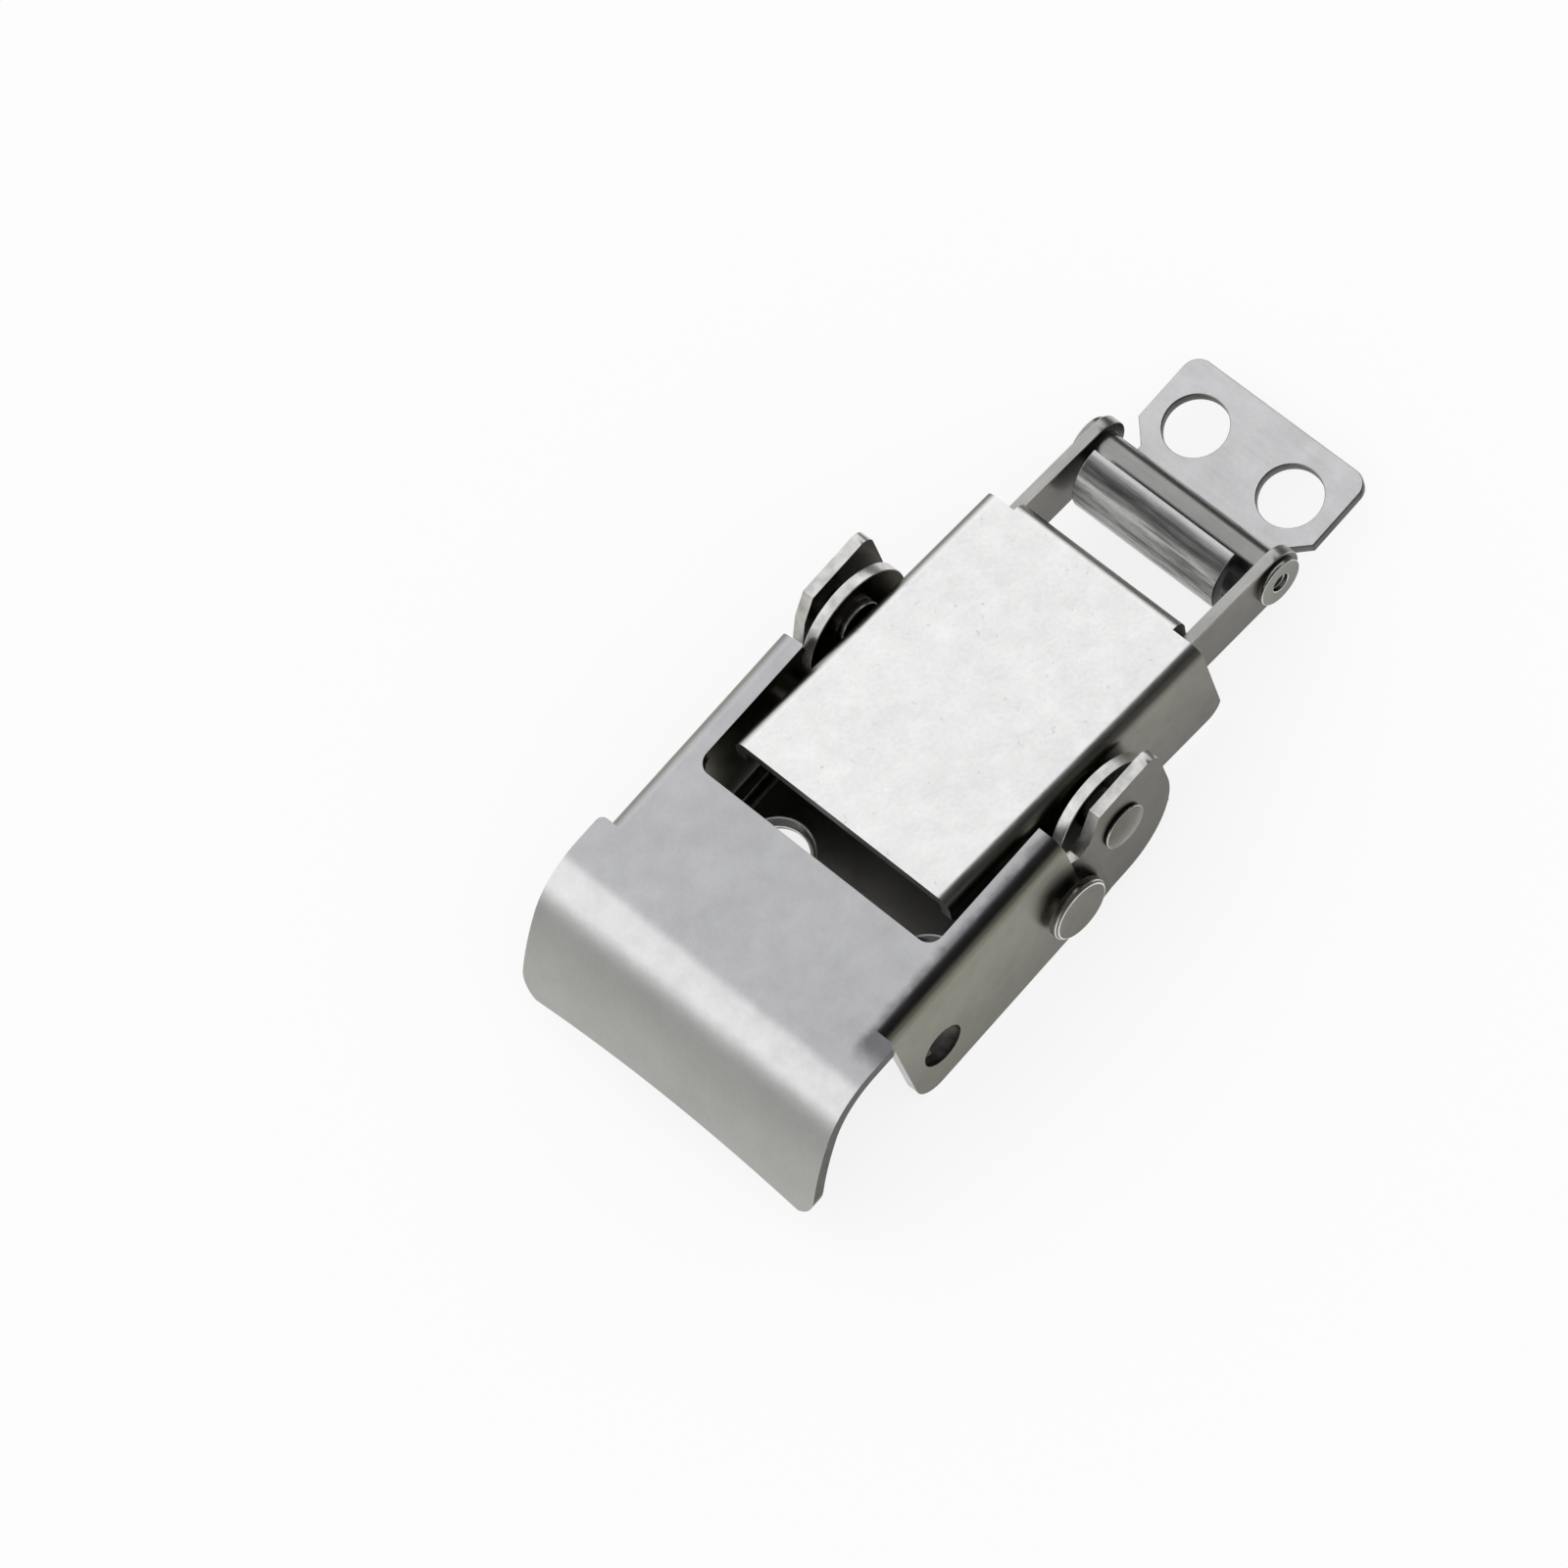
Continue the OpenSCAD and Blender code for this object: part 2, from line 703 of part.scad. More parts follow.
// Cross pin with peened, recessed ends
module cross_pin() {
    head_y = fork_y + cross_head_h;
    color("lightgray") in_housing()
        translate([pin_u, 0, fork_w0]) difference() {
            union() {
                pin_y(cross_pin_d, -fork_y, fork_y);
                both_sides() pin_y(cross_head_d, fork_y, head_y);
            }
            both_sides() pin_y(cross_recess_d, head_y - cross_recess_h, head_y + cut);
        }
}

// Catch plate: flat plate with two holes, a narrower neck and a hook curled over the cross pin
module catch_plate() {
    color("silver") difference() {
        union() {
            translate([0, 0, catch_z]) linear_extrude(catch_t) catch_plan();
            across(2 * hook_y) {
                translate([hook_x, hook_z]) {
                    ring_sector(hook_r + catch_t, catch_t, 90, 180);
                    ring_sector(hook_r + catch_t, catch_t, 180, 270);
                }
            }
        }
        screw_holes(catch_hole_d, [
            for (sy = [-1, 1]) [catch_hole_x, sy * catch_pitch / 2, catch_z]
        ]);
    }
}

module catch_plan() {
    rear = catch_hole_x + catch_rear_margin;
    front = catch_hole_x - catch_front_margin;
    difference() {
        polygon([
            [hook_x, -hook_y], [front - catch_shoulder, -hook_y], [front, -catch_w / 2],
            [rear, -catch_w / 2], [rear, catch_w / 2], [front, catch_w / 2],
            [front - catch_shoulder, hook_y], [hook_x, hook_y]
        ]);
        for (sy = [-1, 1])
            translate([rear, sy * catch_w / 2]) corner_cut(catch_corner_r, 1, sy);
    }
}

base();
lever();
lever_rivet(1);  // lever_rivet_left
lever_rivet(-1);  // lever_rivet_right
housing_rivet(1);  // housing_rivet_left
housing_rivet(-1);  // housing_rivet_right
spring_housing();
spring(1);  // spring_left
spring(-1);  // spring_right
guide_rod(1);  // guide_rod_left
guide_rod(-1);  // guide_rod_right
draw_fork();
cross_pin();
catch_plate();
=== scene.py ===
"""Looks of a spring-loaded toggle latch: camera, satin steel with painted shade and highlights, worn edges
with painted highlights, pale floor, studio light.
"""

import json
import math

import bpy
from mathutils import Matrix, Vector


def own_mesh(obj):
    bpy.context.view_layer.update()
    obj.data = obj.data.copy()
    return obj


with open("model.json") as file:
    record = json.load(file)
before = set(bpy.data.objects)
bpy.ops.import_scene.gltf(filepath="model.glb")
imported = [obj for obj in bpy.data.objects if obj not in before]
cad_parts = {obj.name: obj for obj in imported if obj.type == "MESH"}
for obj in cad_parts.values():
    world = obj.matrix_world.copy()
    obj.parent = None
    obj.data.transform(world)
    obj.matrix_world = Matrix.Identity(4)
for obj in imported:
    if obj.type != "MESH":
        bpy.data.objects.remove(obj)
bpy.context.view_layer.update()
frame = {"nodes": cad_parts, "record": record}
nodes = frame["nodes"]
mounts = {mount["name"]: mount for mount in frame["record"]["mounts"]}
scene = bpy.context.scene
scene.view_settings.view_transform = "Standard"

MM = 0.001
MM_PER_M = 1000
SIDES = ("left", "right")

# Material slots of the dressed nodes, after the face's own slot 0
EDGE_SLOT = 1
# The bore slot holds painted shade
BORE_SHADE_SLOT = 2
# The ear slot holds a painted shade
EAR_SHADE_SLOT = 3

# Limits on a part of a face's normal, when faces are picked
DOWNWARD = -0.2
SLIGHTLY = 0.3
PARTLY = 0.5
MOSTLY = 0.9
# How far round a hole's edge its wall is picked, in mm
BORE_MARGIN = 0.2

# Noises of the steel, with scales in cells per metre
RELIEF = {"scale": 4200, "detail": 3.0, "rough": 0.6}
GLOSS = {"scale": 520, "detail": 4.0, "rough": 0.6}
GRAIN = {"scale": 2600, "detail": 3.0, "rough": 0.65}
SCRATCHES = {"scale": 2600, "detail": 5.0, "rough": 0.7}
SPECKLE = {"scale": 2700, "detail": 2.0, "rough": 0.7}
SPOTS = {"scale": 1500, "detail": 2.0, "rough": 0.55}
RAGGED = {"scale": 700, "detail": 4.0, "rough": 0.5}

# Noise values at the two ends of each remap
WIDE_SPREAD = (0.3, 0.7)
SCRATCH_SPREAD = (0.38, 0.62)
SPECKLE_SPREAD = (0.35, 0.62)
SPOT_SPREAD = (0.66, 0.76)

# How far a tone rises above its mean, as a share of how far it falls below it
CLOUD_RISE = 0.6
GRAIN_RISE = 0.5
SPECKLE_RISE = 0.35

# How far a face leans towards Y, as the size of its normal's y, at the two ends of each fade
SIDE_LEAN = (0.2, 0.8)
BEND_STARTS = (0.06, 0.34)
BEND_ENDS = (0.86, 0.99)
# Normal z at the two ends of the fade to a level face
LEVEL = (0.6, 0.85)


# Camera, fitted to the photograph

def add_camera():
    data = bpy.data.cameras.new("camera")
    data.lens = 225
    data.sensor_width = 36
    data.clip_start = 0.05
    data.clip_end = 50
    camera = bpy.data.objects.new("camera", data)
    scene.collection.objects.link(camera)
    place = Vector((-120.10, -282.82, 659.39)) * MM
    right = Vector((0.66052, -0.72218, -0.20534)).normalized()
    forward = Vector((0.15971, 0.40238, -0.90144)).normalized()
    up = right.cross(forward).normalized()
    right = forward.cross(up)
    turn = Matrix((right, up, -forward)).transposed().to_4x4()
    camera.matrix_world = Matrix.Translation(place) @ turn
    scene.camera = camera


# Node helpers

class Tree:
    """The nodes of one material or world."""

    def __init__(self, owner):
        owner.use_nodes = True
        self.tree = owner.node_tree
        self.tree.nodes.clear()

    def node(self, kind, **settings):
        made = self.tree.nodes.new(kind)
        for key, value in settings.items():
            setattr(made, key, value)
        return made

    def link(self, source, target):
        self.tree.links.new(source, target)

    def put(self, socket, value):
        if isinstance(value, bpy.types.NodeSocket):
            self.link(value, socket)
        else:
            socket.default_value = value

    def end(self, shader, kind="ShaderNodeOutputMaterial"):
        self.link(shader.outputs[0], self.node(kind).inputs[0])

    def math(self, operation, first, second=0.0):
        made = self.node("ShaderNodeMath", operation=operation)
        self.put(made.inputs[0], first)
        self.put(made.inputs[1], second)
        return made.outputs[0]

    def parts(self, vector):
        made = self.node("ShaderNodeSeparateXYZ")
        self.link(vector, made.inputs[0])
        return made.outputs[:3]

    def noise(self, where, scale, detail, rough, stretch=None):
        if stretch:
            mapping = self.node("ShaderNodeMapping")
            mapping.inputs["Scale"].default_value = stretch
            self.link(where, mapping.inputs["Vector"])
            where = mapping.outputs[0]
        made = self.node("ShaderNodeTexNoise")
        self.link(where, made.inputs["Vector"])
        made.inputs["Scale"].default_value = scale
        made.inputs["Detail"].default_value = detail
        made.inputs["Roughness"].default_value = rough
        return made.outputs["Fac"]

    def remap(self, value, low, high, to_low, to_high, smooth=False):
        made = self.node("ShaderNodeMapRange")
        if smooth:
            made.interpolation_type = "SMOOTHSTEP"
        for name, number in (("From Min", low), ("From Max", high),
                             ("To Min", to_low), ("To Max", to_high)):
            made.inputs[name].default_value = number
        self.link(value, made.inputs["Value"])
        return made.outputs[0]

    def fade(self, value, start, full, most=1.0):
        """Goes smoothly from 0 at 'start' to 'most' at 'full'."""
        return self.remap(value, start, full, 0.0, most, smooth=True)

    def uneven(self, noise, spread, depth, rise):
        """A factor round 1 that falls by 'depth', and rises by the share 'rise' of it."""
        return self.remap(noise, *spread, 1.0 - depth, 1.0 + depth * rise)

    def mix(self, factor, first, second, blend="MIX"):
        made = self.node("ShaderNodeMix", data_type="RGBA", blend_type=blend)
        self.put(made.inputs[0], factor)
        for socket, value in ((made.inputs[6], first), (made.inputs[7], second)):
            if isinstance(value, tuple):
                value = (*value, 1.0)
            self.put(socket, value)
        return made.outputs[2]

    def tint(self, tone, factor):
        """Multiplies a tone by a factor."""
        grey = self.node("ShaderNodeCombineColor")
        for socket in grey.inputs[:3]:
            self.link(factor, socket)
        return self.mix(1.0, tone, grey.outputs[0], "MULTIPLY")


# Steel

def painted_side_shade(tree, tone, side, normal_y, z):
    """Painted shade on the faces that look along Y, darker towards the ground."""
    low_z = 1 * MM
    high_z = 9 * MM
    low_factor = 0.7
    high_factor = 1.08
    shaded = tree.tint(side, tree.remap(z, low_z, high_z, low_factor, high_factor))
    lean = tree.math("ABSOLUTE", normal_y)
    return tree.mix(tree.fade(lean, *SIDE_LEAN), tone, shaded)


def bend_shade_factor(tree, normal_y, depth):
    """Painted shade: darkens the folds that run along X, where the sheet turns from level to upright, in
    place of their dark reflection.
    """
    lean = tree.math("ABSOLUTE", normal_y)
    starts = tree.fade(lean, *BEND_STARTS, most=depth)
    ends = tree.remap(lean, *BEND_ENDS, 1.0, 0.0, smooth=True)
    return tree.math("SUBTRACT", 1.0, tree.math("MULTIPLY", starts, ends))


def fold_factor(tree, where, place, normal_z, start, full, front_end):
    """Shades the level sheet beside the -Y fold, with a ragged limit.

    'start' and 'full' are distances from the middle plane, and 'front_end' is the x where the shade
    ends, all in mm.
    """
    deepest = 0.62
    blur = 1
    ragged_width = 1.2 * MM
    ragged = tree.math("MULTIPLY", tree.math("SUBTRACT", tree.noise(where, **RAGGED), 0.5), ragged_width)
    across = tree.math("SUBTRACT", ragged, place[1])
    along = tree.math("ADD", place[0], ragged)
    near = tree.fade(across, start * MM, full * MM, most=deepest)
    behind = tree.fade(along, (front_end - blur) * MM, (front_end + blur) * MM)
    level = tree.fade(normal_z, *LEVEL)
    shade = tree.math("MULTIPLY", tree.math("MULTIPLY", near, behind), level)
    return tree.math("SUBTRACT", 1.0, shade)


def steel(name, colour, side=None, painted_facing_tones=(), rough=0.3, mottle=0.1, mottle_size=1.1, speckle=0.0,
          grain=0.0, grain_along=(1, 1, 1), dark_spots=0.0, front_grain=0.0, front_rough=0.0,
          painted_bend_shade=0.0, fold_shade=None):
    """Satin stainless steel: cloudy tone, rolling grain, speckle and dark spots, with painted shade and
    highlights.

    'side' is a painted shade: the tone of the faces that look along Y.
    'turned' lists painted highlights and shades on faces that look along X,
    as (normal x where it starts, where it is full, tone).
    'front_grain' and 'front_rough' scratch and roughen the faces of the first of these tones.
    'mottle' and 'mottle_size' give the depth and the size of the clouds.
    'painted_bend_shade' paints shade into the folds along X, and 'fold_shade' shades the sheet beside the
    -Y fold.
    """
    cloud_mm = 4
    dullest = 1.16
    glossiest = 0.86
    spot_depth = 0.5
    grain_relief = 2.0
    speckle_relief = 1.2
    scratch_along = (1, 0.06, 1)
    material = bpy.data.materials.new(name)
    tree = Tree(material)
    coord = tree.node("ShaderNodeTexCoord")
    where = coord.outputs["Object"]
    place = tree.parts(where)
    normal_x, normal_y, normal_z = tree.parts(coord.outputs["Normal"])
    tone = colour
    # Painted shade on the faces that look along Y
    if side:
        tone = painted_side_shade(tree, tone, side, normal_y, place[2])
    # Painted shade in the folds along X
    if painted_bend_shade:
        tone = tree.tint(tone, bend_shade_factor(tree, normal_y, painted_bend_shade))
    # Painted highlights and shades on the faces turned along X
    turns = [tree.fade(normal_x, start, full) for start, full, _ in painted_facing_tones]
    for turn, (_, _, other) in zip(turns, painted_facing_tones):
        tone = tree.mix(turn, tone, other)
    if fold_shade:
        tone = tree.tint(tone, fold_factor(tree, where, place, normal_z, **fold_shade))
    clouds = tree.noise(where, MM_PER_M / (mottle_size * cloud_mm), detail=3.0, rough=0.55)
    tone = tree.tint(tone, tree.uneven(clouds, WIDE_SPREAD, mottle, CLOUD_RISE))
    relief = tree.noise(where, **RELIEF)
    gloss = tree.remap(tree.noise(where, **GLOSS), *WIDE_SPREAD, rough * glossiest, rough * dullest)
    if front_rough:
        gloss = tree.math("ADD", gloss, tree.math("MULTIPLY", turns[0], front_rough))
    if grain:
        streaks = tree.noise(where, **GRAIN, stretch=grain_along)
        tone = tree.tint(tone, tree.uneven(streaks, WIDE_SPREAD, grain, GRAIN_RISE))
        relief = tree.math("ADD", tree.math("MULTIPLY", streaks, grain_relief), relief)
    if front_grain:
        scratches = tree.noise(where, **SCRATCHES, stretch=scratch_along)
        scratched = tree.tint(tone, tree.uneven(scratches, SCRATCH_SPREAD, front_grain, GRAIN_RISE))
        tone = tree.mix(turns[0], tone, scratched)
    if speckle:
        fine = tree.noise(where, **SPECKLE)
        tone = tree.tint(tone, tree.uneven(fine, SPECKLE_SPREAD, speckle, SPECKLE_RISE))
        relief = tree.math("ADD", tree.math("MULTIPLY", fine, speckle_relief), relief)
    if dark_spots:
        darkest = 1.0 - dark_spots * spot_depth
        spots = tree.remap(tree.noise(where, **SPOTS), *SPOT_SPREAD, 1.0, darkest, smooth=True)
        tone = tree.tint(tone, spots)
    bump = tree.node("ShaderNodeBump")
    bump.inputs["Strength"].default_value = 0.05
    bump.inputs["Distance"].default_value = 0.03 * MM
    tree.link(relief, bump.inputs["Height"])
    shader = tree.node("ShaderNodeBsdfPrincipled")
    shader.inputs["Metallic"].default_value = 1.0
    tree.link(tone, shader.inputs["Base Color"])
    tree.link(gloss, shader.inputs["Roughness"])
    tree.link(bump.outputs[0], shader.inputs["Normal"])
    tree.end(shader)
    return material


# Dressing of the CAD nodes

def cover(piece, materials):
    """Gives a node its materials and smooth shading."""
    piece.data.materials.clear()
    for material in materials:
        piece.data.materials.append(material)
    for polygon in piece.data.polygons:
        polygon.use_smooth = True


def dress(name, *materials, width=0.08):
    """Covers a node, and rounds its sharp edges with a worn bevel that is 'width' mm wide."""
    piece = nodes[name]
    cover(piece, materials)
    weld = piece.modifiers.new("weld", "WELD")
    weld.merge_threshold = 0.002 * MM
    flat = piece.modifiers.new("flat", "DECIMATE")
    flat.decimate_type = "DISSOLVE"
    flat.angle_limit = math.radians(0.6)
    round_off = piece.modifiers.new("round_off", "BEVEL")
    round_off.width = width * MM
    round_off.segments = 2
    round_off.limit_method = "ANGLE"
    round_off.angle_limit = math.radians(28)
    round_off.material = EDGE_SLOT
    round_off.harden_normals = True
    round_off.miter_outer = "MITER_ARC"
    even = piece.modifiers.new("even", "WEIGHTED_NORMAL")
    even.mode = "FACE_AREA_WITH_ANGLE"
    even.weight = 100


def paint(name, slot, test):
    """Puts the faces that 'test' picks, by centre in mm and normal, in another material slot."""
    for polygon in nodes[name].data.polygons:
        if test(polygon.center / MM, polygon.normal):
            polygon.material_index = slot


def dress_lever(edge, bore):
    # Painted highlight along the lip's crest; low_lip ends it and paints the lower lip a little darker
    painted_crest_highlight = (-0.14, -0.27, (0.76, 0.762, 0.772))
    low_lip = (-0.5, -0.66, (0.525, 0.527, 0.53))
    face = steel("lever_satin", (0.55, 0.552, 0.57), side=(0.212, 0.205, 0.165), rough=0.33,
                 painted_facing_tones=(painted_crest_highlight, low_lip), mottle=0.06, mottle_size=1.6, speckle=0.03,
                 dark_spots=0.10, painted_bend_shade=0.1,
                 fold_shade={"start": 12.0, "full": 13.0, "front_end": -17.8})
    # Painted shade: a darker copy of the lever's steel for its ears
    ear_shade = steel("ear_shaded_satin", (0.4, 0.395, 0.37), side=(0.113, 0.109, 0.092), rough=0.30, mottle=0.12)
    dress("lever", face, edge, bore, ear_shade)
    ear_front = 1.2
    ear_inside = 13.0
    flange_front = -15.7
    hole = Vector(mounts["padlock_hole"]["pos_m"]) / MM
    hole_reach = mounts["padlock_hole"]["dims"]["r_mm"] + BORE_MARGIN

    def on_ear(centre):
        return centre.x > ear_front and abs(centre.y) > ear_inside

    def is_ear_edge(centre, normal):
        return on_ear(centre) and normal.z > DOWNWARD and abs(normal.y) < PARTLY

    def is_hole_wall(centre, normal):
        near_hole = math.hypot(centre.x - hole.x, centre.z - hole.z) < hole_reach
        return near_hole and abs(normal.y) < SLIGHTLY

    def is_lip_side(centre, normal):
        return centre.x < flange_front and abs(normal.y) > MOSTLY

    paint("lever", EAR_SHADE_SLOT, lambda centre, normal: on_ear(centre))
    # Painted highlight on the ears' rims
    paint("lever", EDGE_SLOT, is_ear_edge)
    # Painted shade on the padlock hole's wall and on the lip's cut sides
    paint("lever", BORE_SHADE_SLOT, is_hole_wall)
    paint("lever", BORE_SHADE_SLOT, is_lip_side)


def dress_housing(edge):
    # Painted sheen: the near-white tone stands in for the bright reflection on the housing's top; the
    # front faces get painted shade, and the faces turned towards +X a plainer, darker tone
    painted_front_shade = (-0.5, -0.8, (0.05, 0.05, 0.045))
    rear_flange = (0.25, 0.6, (0.5, 0.495, 0.475))
    face = steel("housing_painted_sheen", (0.975, 0.97, 0.967), side=(0.185, 0.18, 0.15), rough=0.34,
                 painted_facing_tones=(painted_front_shade, rear_flange), mottle=0.035, mottle_size=1.6, speckle=0.045,
                 dark_spots=0.35, painted_bend_shade=0.3)
    dress("spring_housing", face, edge, width=0.05)


def dress_base(edge):
    # Painted shade: the base's steel is given a dark tone, for the base that lies in shade under the lever
    face = steel("base_shaded_satin", (0.2, 0.197, 0.183), side=(0.2, 0.195, 0.165), rough=0.22, mottle=0.1)
    dress("base", face, edge)
    wall_top = 3

    def is_ear_edge(centre, normal):
        return centre.z > wall_top and abs(normal.y) < SLIGHTLY and normal.z > DOWNWARD

    # Painted highlight on the rims of the base's ears
    paint("base", EDGE_SLOT, is_ear_edge)


def dress_fork():
    face = steel("fork_satin", (0.46, 0.457, 0.44), side=(0.14, 0.136, 0.118), rough=0.3,
                 mottle=0.12, grain=0.06, grain_along=(0.12, 1, 1))
    edge = steel("fork_edge", (0.5, 0.497, 0.48), rough=0.3, mottle=0.25, mottle_size=0.3)
    dress("draw_fork", face, edge)


def dress_catch(bore):
    # Painted shade where the hook starts to turn towards -X, and a painted highlight on its steeper front
    # band
    painted_hook_shade = (-0.03, -0.32, (0.21, 0.21, 0.208))
    painted_hook_highlight = (-0.45, -0.75, (0.95, 0.95, 0.94))
    face = steel("catch_satin", (0.665, 0.662, 0.675), side=(0.13, 0.13, 0.13), rough=0.32,
                 painted_facing_tones=(painted_hook_shade, painted_hook_highlight), mottle=0.05, speckle=0.03, grain=0.05,
                 grain_along=(1, 0.1, 1), front_grain=0.5, front_rough=0.35)
    # The plate's edges and upright outer walls get a nearly black painted shade where they look along Y
    edge = steel("catch_edge", (0.5, 0.5, 0.5), side=(0.08, 0.08, 0.08), rough=0.3, mottle=0.1,
                 mottle_size=0.5)
    dress("catch_plate", face, edge, bore)
    plate_front = 32
    hole_x = mounts["catch_holes"]["pos_m"][0] / MM
    hole_y = mounts["catch_holes"]["dims"]["spacing_y_mm"] / 2
    hole_reach = mounts["catch_holes"]["dims"]["hole_r_mm"] + BORE_MARGIN

    def is_outer_wall(centre, normal):
        return centre.x > plate_front and abs(normal.z) < SLIGHTLY

    def is_hole_wall(centre, normal):
        near_hole = math.hypot(centre.x - hole_x, abs(centre.y) - hole_y) < hole_reach
        return near_hole and abs(normal.z) < PARTLY

    paint("catch_plate", EDGE_SLOT, is_outer_wall)
    # Painted shade on the walls of the catch's holes
    paint("catch_plate", BORE_SHADE_SLOT, is_hole_wall)


def dress_rivets(edge):
    face = steel("rivet_satin", (0.42, 0.41, 0.37), side=(0.14, 0.136, 0.112), rough=0.28, mottle=0.2,
                 mottle_size=0.5)
    for side in SIDES:
        dress("lever_rivet_" + side, face, edge, width=0.06)
        dress("housing_rivet_" + side, face, edge, width=0.1)
        dress("guide_rod_" + side, face, edge, width=0.06)


def dress_pin(edge):
    face = steel("pin_satin", (0.33, 0.328, 0.318), side=(0.23, 0.227, 0.2), rough=0.25, mottle=0.1,
                 grain=0.08, grain_along=(1, 0.08, 1))
    dress("cross_pin", face, edge, width=0.06)


def dress_springs():
    wire = steel("spring_wire", (0.4, 0.4, 0.39), rough=0.3, mottle=0.1)
    for side in SIDES:
        cover(nodes["spring_" + side], [wire])


def dress_all():
    # Edge rims, partly worn bright and partly a painted highlight
    edge = steel("worn_edge_highlight", (0.72, 0.715, 0.70), rough=0.3, mottle=0.3, mottle_size=0.3)
    # Painted shade on the hole walls and on the lip's cut sides
    bore = steel("punched_bore_shade", (0.10, 0.097, 0.088), rough=0.4, mottle=0.2, mottle_size=0.3)
    dress_lever(edge, bore)
    dress_housing(edge)
    dress_base(edge)
    dress_fork()
    dress_catch(bore)
    dress_rivets(edge)
    dress_pin(edge)
    dress_springs()


def shorten_springs():
    """Gives each spring its own copy of its mesh."""
    for side in SIDES:
        spring = nodes["spring_" + side]
        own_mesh(spring)


# Stage

def flat_piece(name, corners, material):
    mesh = bpy.data.meshes.new(name)
    mesh.from_pydata([Vector(corner) for corner in corners], [], [list(range(len(corners)))])
    mesh.materials.append(material)
    piece = bpy.data.objects.new(name, mesh)
    scene.collection.objects.link(piece)
    return piece


def facing_rays(tree):
    """1 for rays from the camera, from gloss and through glass, 0 for the light that they bring."""
    path = tree.node("ShaderNodeLightPath")
    seen = tree.math("MAXIMUM", path.outputs["Is Camera Ray"], path.outputs["Is Glossy Ray"])
    return tree.math("MAXIMUM", seen, path.outputs["Is Transmission Ray"])


def add_floor():
    """A matt white floor that keeps the shadow, and glows enough to look white."""
    glow_share = 0.82
    half = 3
    z = -0.02 * MM
    material = bpy.data.materials.new("floor_white")
    tree = Tree(material)
    matt = tree.node("ShaderNodeBsdfDiffuse")
    matt.inputs["Color"].default_value = (0.93, 0.93, 0.93, 1)
    glow = tree.node("ShaderNodeEmission")
    glow.inputs["Color"].default_value = (1, 1, 1, 1)
    glow.inputs["Strength"].default_value = 1.0
    both = tree.node("ShaderNodeMixShader")
    tree.link(tree.math("MULTIPLY", facing_rays(tree), glow_share), both.inputs[0])
    tree.link(matt.outputs[0], both.inputs[1])
    tree.link(glow.outputs[0], both.inputs[2])
    tree.end(both)
    flat_piece("floor", [(-half, -half, z), (half, -half, z), (half, half, z), (-half, half, z)], material)


def add_world():
    """A white world that is seen at full strength, and lights the latch at a plain level."""
    lighting = 0.93
    world = bpy.data.worlds.new("studio")
    scene.world = world
    tree = Tree(world)
    back = tree.node("ShaderNodeBackground")
    back.inputs["Color"].default_value = (1, 1, 1, 1)
    tree.link(tree.remap(facing_rays(tree), 0, 1, lighting, 1.0), back.inputs["Strength"])
    tree.end(back, "ShaderNodeOutputWorld")


def add_lamp(name, towards, distance, width, depth, radiance):
    """A soft box seen from the object in the direction 'towards', its width along the latch."""
    data = bpy.data.lights.new(name, "AREA")
    data.shape = "RECTANGLE"
    data.size = width
    data.size_y = depth
    data.energy = radiance * math.pi * width * depth
    data.color = (1.0, 0.99, 0.95)
    lamp = bpy.data.objects.new(name, data)
    scene.collection.objects.link(lamp)
    back = Vector(towards).normalized()
    across = (Vector((1, 0, 0)) - back * back.x).normalized()
    turn = Matrix((across, back.cross(across), back)).transposed().to_4x4()
    lamp.matrix_world = Matrix.Translation(back * distance) @ turn


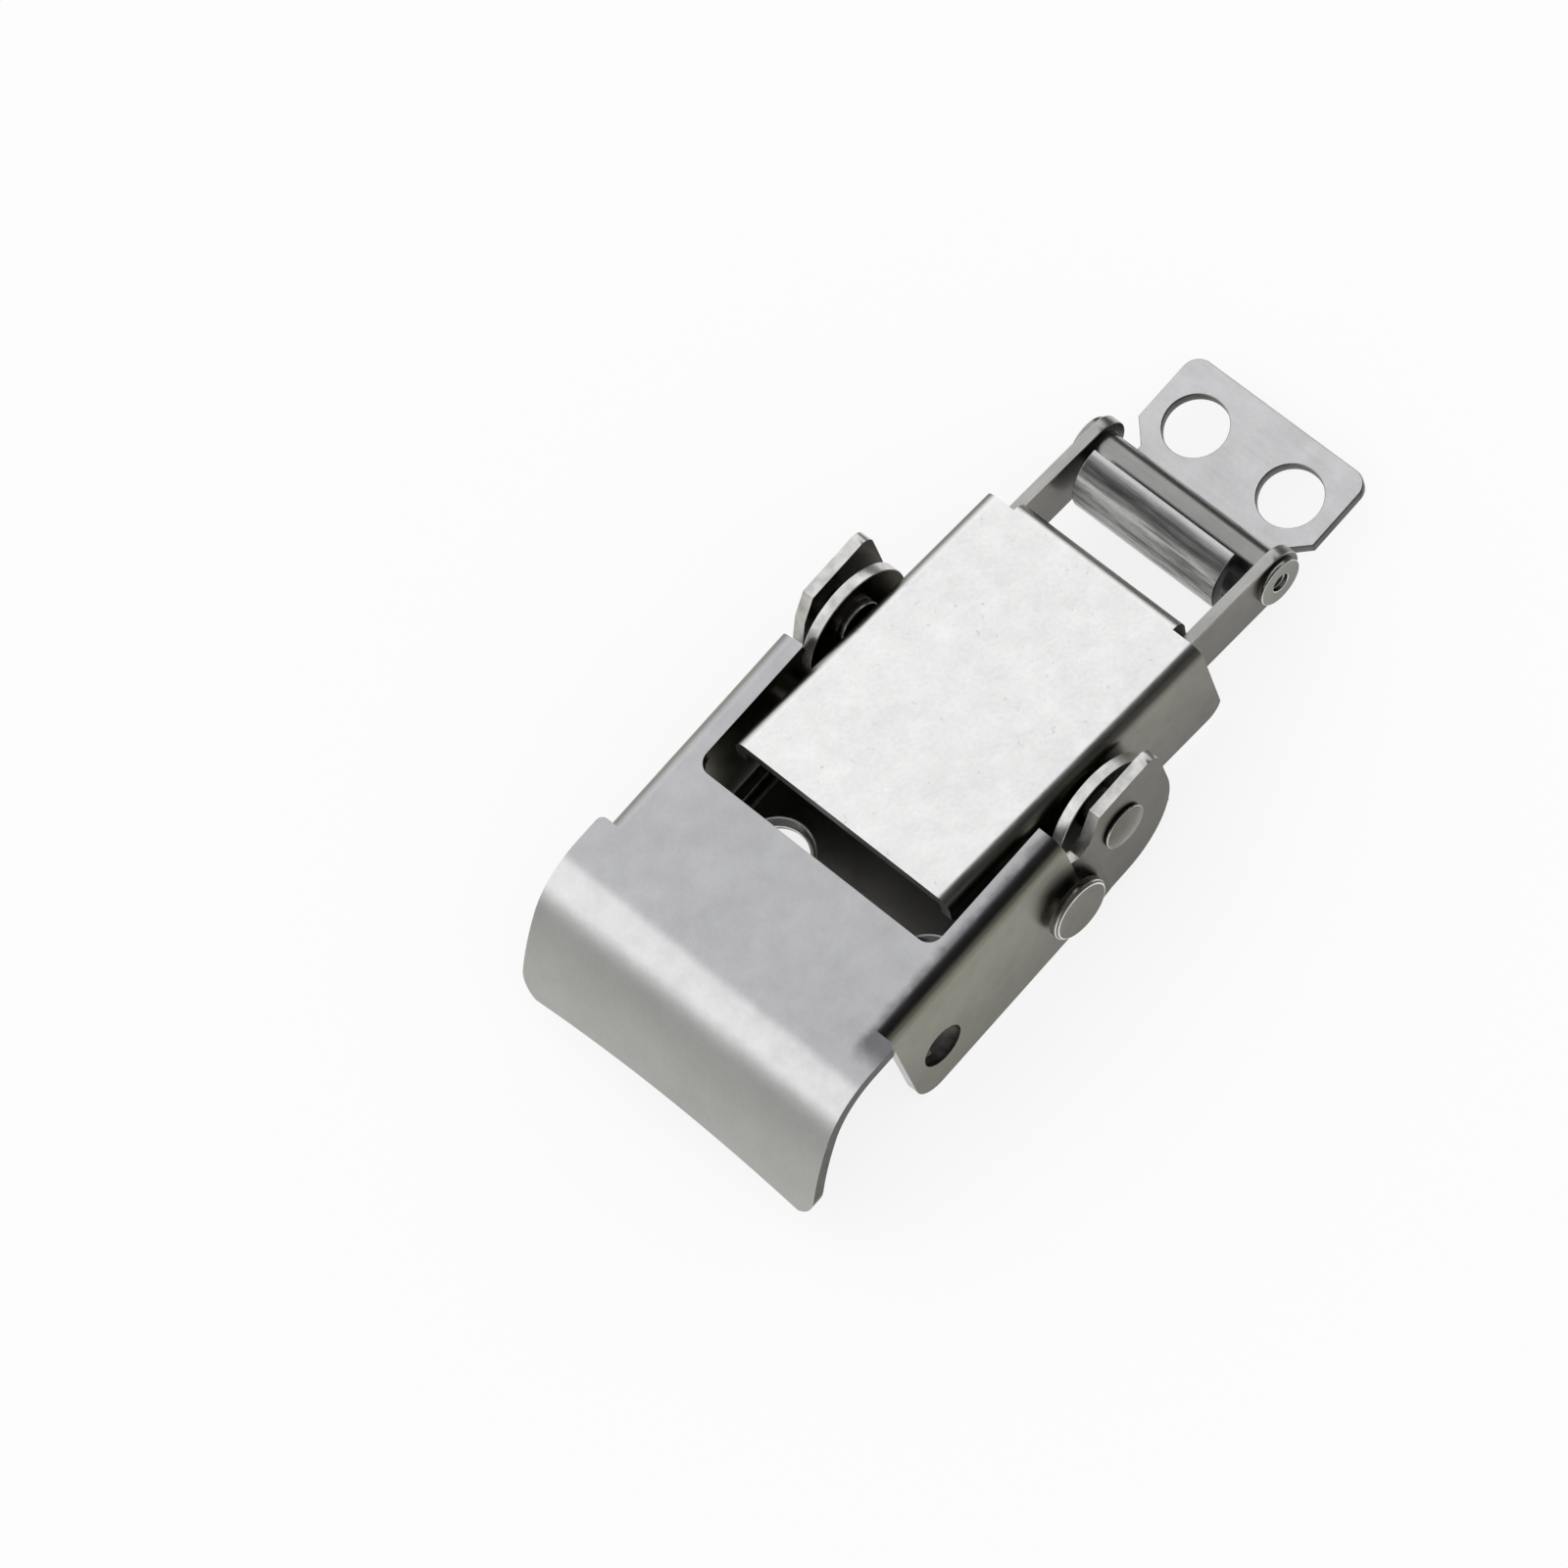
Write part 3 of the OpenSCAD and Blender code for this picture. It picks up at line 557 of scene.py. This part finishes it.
def add_card(name, corners, shade, tint=(1, 1, 1)):
    """A dark card that only the metal's gloss shows, as the unlit room round the camera."""
    material = bpy.data.materials.new(name)
    tree = Tree(material)
    dim = tree.node("ShaderNodeEmission")
    dim.inputs["Color"].default_value = (*(shade * part for part in tint), 1)
    tree.end(dim)
    card = flat_piece(name, corners, material)
    card.visible_camera = False
    card.visible_diffuse = False
    card.visible_shadow = False
    card.visible_transmission = False


def card_along_x(name, start, end, shade):
    """A card 2 m long, from 'start' to 'end', which are points (y, z)."""
    add_card(name, [(-1, *start), (1, *start), (1, *end), (-1, *end)], shade)


def card_along_y(name, start, end, shade, tint=(1, 1, 1)):
    """A card 2 m long, from 'start' to 'end', which are points (x, z)."""
    start_x, start_z = start
    end_x, end_z = end
    corners = [(start_x, -1, start_z), (start_x, 1, start_z), (end_x, 1, end_z), (end_x, -1, end_z)]
    add_card(name, corners, shade, tint)


def add_room():
    """The dark room: a wall with a ceiling at -Y, and low cards in front of and behind the latch."""
    wall_y = -0.10
    foot_z = 0.055
    top_z = 0.7
    ceiling_y = 0.085
    ceiling_end_y = 0.15
    dark = 0.05
    pale = 0.4
    warm = (1, 1, 0.95)
    front_x = -0.06
    floor_card_z = 0.3 * MM
    card_along_x("room_foot", (wall_y, 0), (wall_y, foot_z), shade=pale)
    card_along_x("room_wall", (wall_y, foot_z), (wall_y, top_z), shade=dark)
    card_along_x("room_ceiling", (wall_y, top_z), (ceiling_y, top_z), shade=dark)
    card_along_x("room_ceiling_edge", (ceiling_y, top_z), (ceiling_end_y, top_z), shade=pale)
    card_along_y("room_front", (front_x, 0), (-0.25, 0.08), shade=0.55, tint=warm)
    card_along_y("room_front_floor", (-0.03, floor_card_z), (front_x, floor_card_z), shade=0.72, tint=warm)
    card_along_y("room_rear", (0.05, 0), (0.10, 0.03), shade=0.12)


def add_stage():
    add_floor()
    add_world()
    add_lamp("soft_box_left", towards=(-0.70, 0.44, 0.62), distance=0.9, width=1.1, depth=0.6,
             radiance=0.15)
    add_lamp("soft_box_rear", towards=(0.75, 0.60, 0.30), distance=1.0, width=0.4, depth=0.4,
             radiance=0.3)
    add_room()


add_camera()
dress_all()
shorten_springs()
add_stage()
